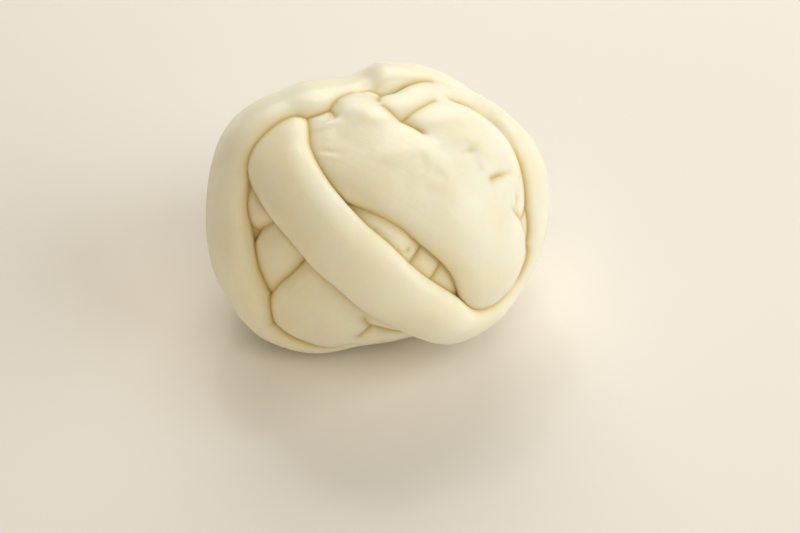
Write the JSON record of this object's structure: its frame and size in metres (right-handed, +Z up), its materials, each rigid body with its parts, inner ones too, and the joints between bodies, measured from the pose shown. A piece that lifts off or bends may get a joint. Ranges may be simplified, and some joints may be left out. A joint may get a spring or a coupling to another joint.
{
  "type": "ball of string cheese",
  "caption": "Ball of soft white stretched-curd cheese: one long flattened rope wound over itself like yarn, lying on a small flat spot.",
  "frame": {"origin": "middle of the ball's outline, at the level of the flat spot it rests on", "axes": "+Z up from the flat spot, +X to the right, -Y towards the front, where the broad ribbon and the diagonal turn cross"},
  "size_m": [0.128, 0.1172, 0.0884],
  "materials": {
    "curd": "moist satin, slightly translucent, creamy white, yellower in the creases"
  },
  "bodies": {
    "root": {"cheese_ball": "curd"}
  },
  "joints": []
}
